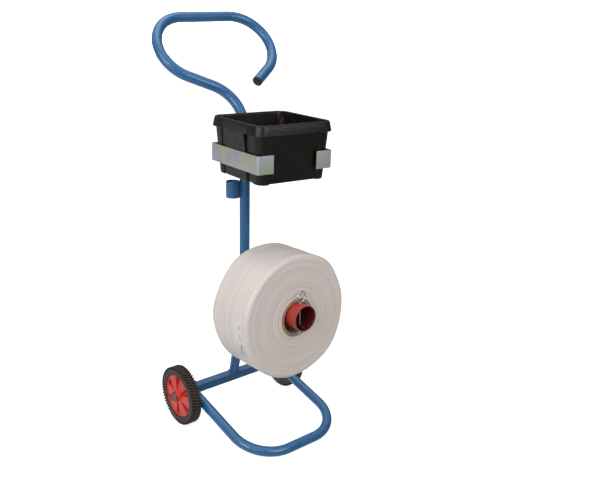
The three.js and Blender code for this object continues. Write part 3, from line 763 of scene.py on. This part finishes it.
def washer_part(side, low, high, outer):
    edge = 0.25
    outline = [(SMALL_HOLE, low), (outer - edge, low), (outer, low + edge)]
    outline += [(outer, high - edge), (outer - edge, high), (SMALL_HOLE, high)]
    return turned([(r, side * x) for r, x in outline], "x", 48)


for side, word in ((-1, "left"), (1, "right")):
    wheel = "wheel_" + word
    piece(
        f"tread_tyre_{word}", [tyre_part(side)], RUBBER, wheel, WHEELS,
        (f"tyre_{word}",), crease=50,
    )
    piece(
        f"moulded_rim_{word}", [rim_part(side)], RIM_RED, wheel, WHEELS,
        (f"wheel_rim_{word}",), crease=45,
    )
    piece(
        f"push_cap_{word}", [hub_cap_part(side)], CAP_STEEL, "frame", WHEELS,
        (f"hub_cap_{word}",), crease=60,
    )
    washers = [washer_part(side, 150.6, 151.9, 10), washer_part(side, 182.4, 183.9, 11.5)]
    piece(
        f"washers_{word}", washers, STEEL, "frame", WHEELS,
        (f"inner_washer_{word}", f"outer_washer_{word}"),
    )

# ---- mast and handle


def mast_stations():
    start = Vector((0, CROSSBAR_Y, crossbar_top))
    back, rise = CROSSBAR_Y - POST_Y, LOWER_BEND_Z - crossbar_top
    lean, slant = math.atan2(back, rise), math.hypot(back, rise)
    leaning = Vector((0, -math.sin(lean), math.cos(lean)))
    lower = LOWER_BEND * math.tan(lean / 2)
    upper = UPPER_BEND * math.tan(math.radians(HANDLE_LEAN) / 2)
    head_x = Vector((1, 0, 0))
    head_x.rotate(Euler((0, 0, math.radians(HEAD_TURN))))
    line = BentLine(start, leaning).run(slant - lower)
    line.bend((1, 0, 0), -math.degrees(lean), LOWER_BEND)
    line.run(UPPER_BEND_Z - LOWER_BEND_Z - lower - upper)
    line.bend(head_x, -HANDLE_LEAN, UPPER_BEND)
    normal = head_x.cross(line.direction)
    line.bend(normal, 63.7, HANDLE_BEND).run(62.4)
    line.bend(normal, -151.4, HANDLE_BEND).run(134)
    line.bend(normal, -143.8, HANDLE_BEND).run(55.5)
    return line.stations


mast = mast_stations()
foot = (Vector((0, 0, 1)), crossbar_top + GAP)
painted("mast_and_handle", [tube(mast, TUBE, start=foot)], replaces=("mast_tube",))

foot_ring = []
foot_reach = min(TUBE + 0.8, CROSSBAR_DEPTH / 2 - 0.6)
for step in range(61):
    t = TAU * step / 60 - 0.4
    y = CROSSBAR_Y - 0.1 + foot_reach * math.sin(t) * 1.02
    foot_ring.append(((TUBE + 0.8) * math.cos(t), y, crossbar_top + 0.7))
painted("mast_foot_weld", [weld(foot_ring, 2.1, seed=11)])

end_point, end_direction = mast[-1]
plug_turn = Vector((0, 1, 0)).rotation_difference(end_direction).to_matrix().to_4x4()
plug_place = place(*end_point) @ plug_turn
plug_outline = [(0, -14), (10.5, -14), (10.5, GAP), (TUBE - 0.2, GAP), (TUBE, 0.6), (TUBE, 2.4)]
plug_outline += [(12.2, 3.3), (11.3, 4.2), (9.6, 4.9), (6.5, 5.4), (3, 5.58), (0, 5.6)]
piece(
    "handle_plug", [turned(plug_outline, "y", 48, closed=False)], BLACK, "frame",
    plug_place, ("handle_end_plug",), crease=55,
)

# ---- tool sleeve

sleeve = middle("tool_ring") - Vector((0, AXLE.y, 0))
sleeve_x, sleeve_y = sleeve.x / MM, sleeve.y / MM


def tube_outline(first, second, low, high, soft=0.5):
    """A tube's section with rounded edges, from halfway up its first radius."""
    start = (low + high) / 2
    corners = [(first, low), (second, low), (second, high), (first, high)]
    corners = [(radius, along, soft) for radius, along in corners]
    return fillet([(first, start, 0), *corners, (first, start + 0.01, 0)])


sleeve_outline = tube_outline(
    RING_BORE, RING_OUTER, RING_BOTTOM, RING_BOTTOM + RING_HEIGHT, 0.6
)
ring, ring_faces = turned(sleeve_outline, "y")
ring = [(sleeve_x + a, sleeve_y + c, b) for a, b, c in ring]
painted("tool_sleeve", [(ring, ring_faces)], replaces=("tool_ring",))


def groove_points(sense, size):
    """Where a bead of that size touches both the post and the sleeve, in plan."""
    apart = math.hypot(sleeve_x, sleeve_y - POST_Y)
    a, b = TUBE + size, RING_OUTER + size
    along = (a * a - b * b + apart * apart) / (2 * apart)
    off = math.sqrt(max(0.0, a * a - along * along)) * sense
    ux, uy = sleeve_x / apart, (sleeve_y - POST_Y) / apart
    return ux * along - uy * off, POST_Y + uy * along + ux * off


seams = []
for number, sense in enumerate((-1, 1)):
    x, y = groove_points(sense, 1.3)
    line = [(x, y, RING_BOTTOM + 2 + 2 * k) for k in range(19)]
    seams.append(weld(line, 2.0, 3.4, 20 + number))
painted("sleeve_welds", seams)

# ---- spindle and coil


spindle_outline = tube_outline(SPINDLE, SPINDLE - SPINDLE_WALL, -SPINDLE_MOUTH, SPINDLE_BACK)
spindle_piece = piece(
    "spindle_sleeve", [turned(spindle_outline, "y")], RED, "frame",
    SPINDLE_PLACE, ("spindle_tube",),
)


def drill(target, radius, at_y, half_length):
    """Cuts a round hole along the piece's own z axis."""
    hole = bpy.data.meshes.new("hole")
    shape = bmesh.new()
    bmesh.ops.create_cone(
        shape, cap_ends=True, segments=32, radius1=radius * MM, radius2=radius * MM,
        depth=2 * half_length * MM,
    )
    bmesh.ops.translate(shape, verts=shape.verts, vec=(0, at_y * MM, 0))
    shape.to_mesh(hole)
    shape.free()
    cutter = bpy.data.objects.new("hole", hole)
    bpy.context.scene.collection.objects.link(cutter)
    cutter.matrix_world = target.matrix_world
    modifier = target.modifiers.new("hole", "BOOLEAN")
    modifier.object = cutter
    modifier.operation = "DIFFERENCE"
    modifier.solver = "EXACT"
    bpy.context.view_layer.update()
    graph = bpy.context.evaluated_depsgraph_get()
    drilled = bpy.data.meshes.new_from_object(target.evaluated_get(graph))
    target.modifiers.clear()
    target.data = drilled
    drilled.set_sharp_from_angle(angle=math.radians(38))
    bpy.data.objects.remove(cutter)


drill(spindle_piece, PIN + 0.6, -PIN_AHEAD, 40)

STOP, STOP_BORE = 70, SPINDLE + GAP
stop_outline = fillet(
    [(50, STOP_FRONT, 0), (STOP, STOP_FRONT, 1), (STOP, STOP_BACK, 1)]
    + [(STOP_BORE, STOP_BACK, 0.3), (STOP_BORE, STOP_FRONT, 0.3), (49.9, STOP_FRONT, 0)]
)
painted("stop_plate", [turned(stop_outline, "y", 128)], SPINDLE_PLACE, ("stop_disc",))
plate_ring = [
    ((SPINDLE + 1.3) * math.cos(t), STOP_BACK + 0.9, (SPINDLE + 1.3) * math.sin(t))
    for t in (TAU * k / 120 for k in range(119))
]
painted("stop_plate_weld", [weld(plate_ring, 2.0, 3.0, 31)], SPINDLE_PLACE)

stub_seams = []
for number, sense in enumerate((-1, 1)):
    line = [(sense * 13.2, POST_Y - 0.3, SPINDLE_Z - 21 + 2.1 * k) for k in range(21)]
    stub_seams.append(weld(line, 2.2, 3.2, 41 + number))
painted("stub_welds", stub_seams)


def pin_stations():
    """Up the shank, round a small bend and along the finger ring, in the ring's plane."""
    lift = SPINDLE + GAP + PIN_RING + PIN
    offset = 3.5
    meet = math.pi + math.acos(offset / PIN_RING)

    def on_ring(t):
        return Vector((offset + PIN_RING * math.cos(t), 0, lift + PIN_RING * math.sin(t)))

    start, goal = Vector((0, 0, on_ring(meet).z - 3.4)), on_ring(meet + 0.36)
    corner = Vector((0, 0, on_ring(meet).z - 0.3))
    points = [(0, 0, -SPINDLE - PIN_TAIL + 0.5), (0, 0, 0), (0, 0, start.z - 2)]
    for k in range(7):
        t = k / 6
        points.append(start * (1 - t) ** 2 + corner * 2 * t * (1 - t) + goal * t * t)
    points += [on_ring(meet + 0.36 + (TAU - 0.42) * k / 60) for k in range(1, 61)]
    return through(points)


pin_place = SPINDLE_PLACE @ Matrix.Translation((0, -PIN_AHEAD * MM, 0))
pin_place = pin_place @ Matrix.Rotation(math.radians(7), 4, "Z")
piece(
    "wire_pin", [solid_wire(pin_stations(), PIN, 16)], STEEL, "pin", pin_place,
    ("retaining_pin",),
)

screw_at = middle("stop_screw") - Vector((0, AXLE.y, 0))
screw_place = place(*(screw_at / MM), (90 - SPINDLE_TILT, 0, 0))
screw_outline = [(0, -3.2), (6.1, -3.2), (6.5, -2.8), (6.5, 1.6), (6.0, 2.7), (4.6, 3.2)]
screw_outline += [(3.4, 3.25), (3.1, 3.0), (3.0, 1.2), (0, 1.2)]
piece(
    "spindle_screw", [turned(screw_outline, "y", 48, closed=False)],
    BLACK, "frame", screw_place, ("stop_screw",), crease=50,
)

core_outline = tube_outline(CORE, CORE_BORE, 0.5, COIL_WIDTH - 0.5, 0.8)
piece(
    "board_core", [turned(core_outline, "y", 128)], CARDBOARD, "coil", COIL_PLACE,
    ("coil_core",),
)

COIL_EDGE = 10.0
BAND = 10.7


def wave_sum(place_along, seed, scales):
    """A repeatable irregular wave: a few sines of unequal length."""
    draw = random.Random(seed)
    total = 0 * place_along
    for scale, size in scales:
        total = total + size * np.sin(TAU * place_along / scale + draw.uniform(0, TAU))
    return total


def coil_surface(angle, y):
    """How far the handled coil's outer surface stands from a true 147.5 mm cylinder."""
    turn = y / BAND + angle / TAU
    band = 1 - np.abs((turn % 1.0) - 0.5) * 2
    crown = 0.3 * np.clip(band * 4, 0, 1) + 1.5
    crown = crown + wave_sum(y + 2 * np.sin(angle), 9, ((23, 0.14), (5.7, 0.1), (61, 0.3)))

    def bulge(centre_degrees, width, size):
        away = (angle - math.radians(centre_degrees) + math.pi) % TAU - math.pi
        return size * np.exp(-((away / math.radians(width)) ** 2))

    near_front = np.clip(1 - y / 100, 0, 1)
    near_back = 1 - near_front
    front = bulge(52, 14, 5.2) + bulge(95, 18, 1.6) - bulge(24, 12, 0.8) + bulge(-45, 20, 4.2)
    front = front - bulge(-5, 14, 1.0) + bulge(-100, 26, 1.4) + bulge(180, 25, 0.8)
    back = bulge(122, 22, 6.2) + bulge(172, 18, 4.2) + bulge(-45, 20, 2.4) + bulge(70, 20, 2.2)
    return crown + front * near_front + back * near_back


def coil_part():
    """The wound coil: crowned bands across its rim, uneven rings on its faces, and the
    slight flats and bulges of a coil that has been handled."""
    inner, outer = CORE + GAP, COIL
    corner = [math.radians(a) for a in range(0, 91, 9)]
    front = [(r, 0.0) for r in np.linspace(inner, outer - COIL_EDGE, 110)]
    round_front = [
        (outer - COIL_EDGE * (1 - math.sin(t)), COIL_EDGE * (1 - math.cos(t)))
        for t in corner[1:]
    ]
    rim = [(outer, y) for y in np.linspace(COIL_EDGE, COIL_WIDTH - COIL_EDGE, 140)[1:-1]]
    outline = front + round_front + rim
    outline += [(r, COIL_WIDTH - y) for r, y in (front + round_front)[::-1]]
    r = np.array([p[0] for p in outline])[:, None]
    y = np.array([p[1] for p in outline])[:, None]
    angle = np.linspace(0, TAU, 288, endpoint=False)[None, :]
    outwards = np.clip((r - (outer - COIL_EDGE)) / COIL_EDGE, 0, 1)
    sense = np.where(y < COIL_WIDTH / 2, 1.0, -1.0)
    rings = wave_sum(r + 1.2 * np.sin(angle + 0.6) + 0.01 * r * np.sin(3 * angle), 5,
                     ((6.1, 0.16), (9.7, 0.17), (3.4, 0.12), (31, 0.3)))
    face = np.clip((outer - 4 - r) / 16, 0, 1) * np.clip((r - inner) / 3, 0, 1)
    along = y + sense * face * (0.55 + rings * 0.7)
    shape = coil_surface(angle, y)
    radius = r + outwards * shape + (r / outer) ** 3 * (1 - outwards) * shape * 0.9
    x, z = radius * np.cos(angle), radius * np.sin(angle)
    return grid(np.stack([x, along + 0 * x, z], -1), wrap_rows=True)


def patch_part(low_angle, high_angle, low_y, high_y, lift, skew=0.0, steps=(40, 8)):
    """A thin closed patch lying on the coil's outer surface."""
    a = np.radians(np.linspace(low_angle, high_angle, steps[0]))[:, None]
    slant = skew * np.linspace(-1, 1, steps[0])[:, None]
    y = np.linspace(low_y, high_y, steps[1])[None, :] + slant
    layers = []
    for height in (lift, lift - 0.5):
        radius = COIL + coil_surface(a, y) + height
        layers.append(np.stack([radius * np.cos(a), y + 0 * radius, radius * np.sin(a)], -1))
    top, bottom = layers
    return capped(np.concatenate([top, bottom[:, ::-1]], 1))


piece(
    "wound_coil", [coil_part()], STRAPPING, "coil", COIL_PLACE, ("strap_coil",),
    crease=60,
)
piece(
    "closing_tape", [patch_part(160, 207, 13, 37, 0.3)], TAPE, "coil", COIL_PLACE
)
dashes = [
    patch_part(176, 180, 21.1, 22.7, 0.42, 0.5, (8, 3)),
    patch_part(184, 189, 18.9, 20.5, 0.42, -0.7, (8, 3)),
    patch_part(193, 198, 18.2, 21.2, 0.42, 0.9, (8, 3)),
]
piece("tape_marks", dashes, DARK_MARK, "coil", COIL_PLACE)

# ---- bracket and bin


def bracket_part():
    """Flat strip bent round the bin, with rolled edges and a lip at each front corner."""
    half, mid = BRACKET_HALF - STRIP / 2, STRIP / 2
    left, right = -LEFT_ARM + mid, -RIGHT_ARM + mid
    bends = [(-half, left), (-half, -mid), (half, -mid), (half, right)]
    bends = [(x, y, BRACKET_BEND) for x, y in bends]
    left_tip = (-BRACKET_HALF + LEFT_LIP, left, 0)
    right_tip = (BRACKET_HALF - RIGHT_LIP, right, 0)
    plan = fillet([left_tip, *bends, right_tip], 10)
    height = (BRACKET_TOP - BRACKET_BOTTOM) / 2
    section = rounded_rectangle(mid, height, 0.7, 4)
    rows = []
    for i, point in enumerate(plan):
        ahead = plan[min(i + 1, len(plan) - 1)] - plan[max(i - 1, 0)]
        side = Vector((ahead.y, -ahead.x)).normalized()
        rows.append(
            [
                (point.x + side.x * a, point.y + side.y * a, BRACKET_BOTTOM + height + b)
                for a, b in section
            ]
        )
    return capped(rows)


bracket_place = HEAD_PLACE @ Matrix.Translation((HEAD_OFFSET * MM, -(TUBE + GAP) * MM, 0))
piece("zinc_bracket", [bracket_part()], ZINC, "frame", bracket_place, ("bin_bracket",))

PANEL_FRONT, PANEL_BACK = -40, 44
COLUMN_Y, COLUMN_X = 62, 64
STEP = 0.9
BODY_CORNER, SKIRT_CORNER, LIP_CORNER = 16, 24, 17
LIP_X, LIP_Y, BIN_FLOOR = 92.9, 96.6, 656.5


def bin_stations():
    """Stations round the bin's plan, anticlockwise from the right side's front end, as
    (side, along or angle): side is right, back, left, front or a corner."""
    side_y = [-COLUMN_Y, -COLUMN_Y + STEP, -54, -47, PANEL_FRONT - STEP, PANEL_FRONT, -20, 2]
    side_y += [24, PANEL_BACK, PANEL_BACK + STEP, 50, 56, COLUMN_Y - STEP, COLUMN_Y]
    end_x = [COLUMN_X, COLUMN_X - STEP, 40, 20, 0, -20, -40, -COLUMN_X + STEP, -COLUMN_X]
    straights = (
        [("right", y) for y in side_y],
        [("back", x) for x in end_x],
        [("left", y) for y in side_y[::-1]],
        [("front", x) for x in end_x[::-1]],
    )
    corners = (((1, 1), 0), ((-1, 1), 90), ((-1, -1), 180), ((1, -1), 270))
    made = []
    for straight, (corner, start) in zip(straights, corners):
        made += straight
        made += [(corner, start + 9 * k) for k in range(11)]
    return made


def panel_x(z):
    return 87.8 + (z - 654) * 0.075 if z < 720 else 92.75 + (z - 720) * 0.113


def ease(t):
    t = min(1.0, max(0.0, t))
    return t * t * (3 - 2 * t)


def bin_part():
    """Tapered walls with corner columns, a raised panel on each side, and a rim that is
    turned down into a flared skirt. Each station has the same number of rings."""

    def spot(station, half_x, half_y, radius, offset, z):
        kind, value = station
        if kind in ("right", "left"):
            return ((half_x + offset) * (1 if kind == "right" else -1), value, z)
        if kind in ("front", "back"):
            return (value, (half_y + offset) * (1 if kind == "back" else -1), z)
        sign_x, sign_y = kind
        t = math.radians(value)
        return (
            sign_x * (half_x - radius) + (radius + offset) * math.cos(t),
            sign_y * (half_y - radius) + (radius + offset) * math.sin(t),
            z,
        )

    def walls(z):
        """Half the width and half the depth of the bin's body at a height."""
        t = (z - BIN_BOTTOM) / 112
        return 84.5 + 8.3 * t, 88.5 + 6.8 * t

    columns = []
    for station in bin_stations():
        kind, value = station
        side = kind in ("right", "left")
        panel = side and PANEL_FRONT <= value <= PANEL_BACK
        column = isinstance(kind, tuple) or abs(value) >= (COLUMN_Y if side else COLUMN_X)
        away = max(PANEL_FRONT - value, value - PANEL_BACK, 0) if side else 99
        flare = ease(away / 17)
        bottom = BIN_BOTTOM + (0 if column else 1.3)
        line = []

        def wall(z, offset):
            line.append(spot(station, *walls(z), BODY_CORNER, offset, z))

        def body(z, extra=0.0):
            offset = 1.9 if column else 0.0
            if panel:
                offset = panel_x(z) - walls(z)[0]
            wall(z, offset + extra)

        def skirt(z, depth):
            """A point on the skirt, so far in from its outer face."""
            rise = min(1.0, max(0.0, (z - SKIRT_BOTTOM) / (BIN_TOP - SKIRT_BOTTOM)))
            out_x = 101.5 - 3.5 * rise
            flat_x = 97.4 + 0.6 * rise
            half_x = (flat_x + (out_x - flat_x) * flare) - depth
            half_y = 104 - 3.5 * rise - depth
            line.append(spot(station, half_x, half_y, SKIRT_CORNER - depth, 0, z))

        body(bottom, -3.2)
        body(bottom + 0.5, -1.2)
        body(bottom + 2.0)
        for z in (664, 680, 700, 720, 740, 754):
            body(z)
        if panel:
            for z in (757.4, 758.4, 759.4, 760.3):
                line.append(spot(station, panel_x(z), 0, BODY_CORNER, 0, z))
        else:
            body(779.6)
            for z, depth in ((779.6, 2.4), (762.0, 2.2), (SKIRT_BOTTOM, 1.2)):
                skirt(z, depth)
        for z in (761.9, 771.0, 780.2):
            skirt(z, 0.0)
        for z, depth in ((782.3, 0.5), (783.25, 1.3), (BIN_TOP, 2.2)):
            skirt(z, depth)
        for inset, z in ((0.0, BIN_TOP), (0.9, 783.0), (1.3, 781.6), (1.4, 780.4)):
            line.append(spot(station, LIP_X - inset, LIP_Y - inset, LIP_CORNER, 0, z))
        recess = 3.2 if panel else 0.0
        for z, deeper in ((779.6, 1), (765.5, 1), (764.6, 0.55)):
            wall(z, -2.5 + recess * deeper)
        for z in (740, 700, 664):
            wall(z, -2.5 + recess * 0.6)
        for inset, z in ((2.9, 659.5), (3.6, 657.6), (5.0, 656.6)):
            wall(z, -inset)
        columns.append(line)
    rows = list(zip(*columns))
    vertices, faces = grid(rows)
    poles = ((0, (0, 0, BIN_BOTTOM + 0.9)), (len(rows) - 1, (0, 0, BIN_FLOOR)))
    return with_poles(vertices, faces, len(columns), poles)


piece(
    "moulded_bin", [bin_part()], BIN_PLASTIC, "bin", BIN_PLACE, ("parts_bin",),
    crease=32,
)

# ---- frame parts as they are

KEPT_BLUE = ("end_plate_left", "end_plate_right", "spindle_stub")
KEPT_STEEL = [f"bracket_{kind}_{at}" for kind in ("bolt", "nut") for at in ("lower", "upper")]
for material, names in ((BLUE, KEPT_BLUE), (STEEL, ["axle", *KEPT_STEEL])):
    for name in names:
        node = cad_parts[name]
        node.data.materials.clear()
        node.data.materials.append(material)

# ---- floor, light and camera

scene = bpy.context.scene
scene.view_settings.view_transform = "Standard"
scene.view_settings.look = "None"

floor_mesh = bpy.data.meshes.new("floor")
FLOOR = 14.0
floor_mesh.from_pydata(
    [(-FLOOR, -FLOOR, 0), (FLOOR, -FLOOR, 0), (FLOOR, FLOOR, 0), (-FLOOR, FLOOR, 0)],
    [],
    [(0, 1, 2, 3)],
)
floor = bpy.data.objects.new("floor", floor_mesh)
floor.location.z = -0.0004
scene.collection.objects.link(floor)
floor_look = Look("pale_floor", Roughness=0.9)
floor_look.set("Base Color", (0.85, 0.85, 0.85, 1))
floor_look.set("Emission Color", (1, 1, 1, 1))
floor_look.set("Emission Strength", 0.7)
floor_mesh.materials.append(floor_look.material)
floor.visible_diffuse = False
floor.visible_glossy = False

world = bpy.data.worlds.new("studio")
scene.world = world
world.use_nodes = True
studio = Nodes(world.node_tree)
direction = studio.node("TexCoord", {}, "Generated")
upwards = studio.node("SeparateXYZ", {0: direction}, "Z")
greys = ((0.0, 0.72), (0.36, 0.5), (0.49, 0.16), (0.6, 0.2), (0.8, 0.6), (1.0, 0.8))
sky = studio.ramp(studio.remap(upwards, -1, 1), [(at, (grey,) * 3) for at, grey in greys])
# The studio is brighter behind and to the left than in front and to the right.
sides = {0: direction, 1: (-0.7, 0.7, 0)}
aside = studio.node("VectorMath", sides, "Value", operation="DOT_PRODUCT")
WHITE = (2.6, 2.6, 2.6)  # white to the camera at any strength
to_camera = studio.node("LightPath", {}, "Is Camera Ray")
background = world.node_tree.nodes["Background"]
studio.join(studio.remap(aside, -1, 1, 0.45, 1.45), background.inputs["Strength"])
studio.join(studio.mix(to_camera, sky, WHITE), background.inputs["Color"])


def softbox(name, at, size, power, aim=(0.0, 0.0, 0.5), colour=(1, 1, 1)):
    light = bpy.data.lights.new(name, "AREA")
    light.shape = "RECTANGLE"
    light.size, light.size_y = size
    light.energy = power
    light.color = colour
    made = bpy.data.objects.new(name, light)
    scene.collection.objects.link(made)
    made.location = at
    made.rotation_mode = "QUATERNION"
    made.rotation_quaternion = (Vector(aim) - Vector(at)).to_track_quat("-Z", "Y")


softbox("key_left", (-2.5, -0.7, 1.5), (1.2, 1.8), 26)
softbox("key_right", (0.2, -2.9, 1.9), (1.2, 1.6), 24)
softbox("top", (0.1, 0.1, 3.0), (2.0, 2.0), 20)
softbox("strip_left", (-1.9, -1.7, 1.5), (0.05, 1.4), 6)
softbox("strip_right", (0.9, -2.2, 1.7), (0.05, 1.4), 6)

CAMERA_AT = Vector((-1028.9, -1445.5, 1007.2)) * MM + Vector((0, AXLE.y, 0))
YAW, PITCH, ROLL = math.radians(-40.8), math.radians(17.2), math.radians(1.5)
right = Vector((math.cos(YAW), math.sin(YAW), 0))
ahead = Vector((-math.sin(YAW), math.cos(YAW), 0)) * math.cos(PITCH)
ahead.z = -math.sin(PITCH)
up = right.cross(ahead)
rolled_right = right * math.cos(ROLL) + up * math.sin(ROLL)
rolled_up = up * math.cos(ROLL) - right * math.sin(ROLL)
camera_data = bpy.data.cameras.new("camera")
camera_data.lens = 43.96
camera_data.sensor_width = 36
camera_data.clip_start = 0.05
camera_data.clip_end = 60
camera = bpy.data.objects.new("camera", camera_data)
scene.collection.objects.link(camera)
turn = Matrix((rolled_right, rolled_up, -ahead)).transposed().to_4x4()
camera.matrix_world = Matrix.Translation(CAMERA_AT) @ turn
scene.camera = camera
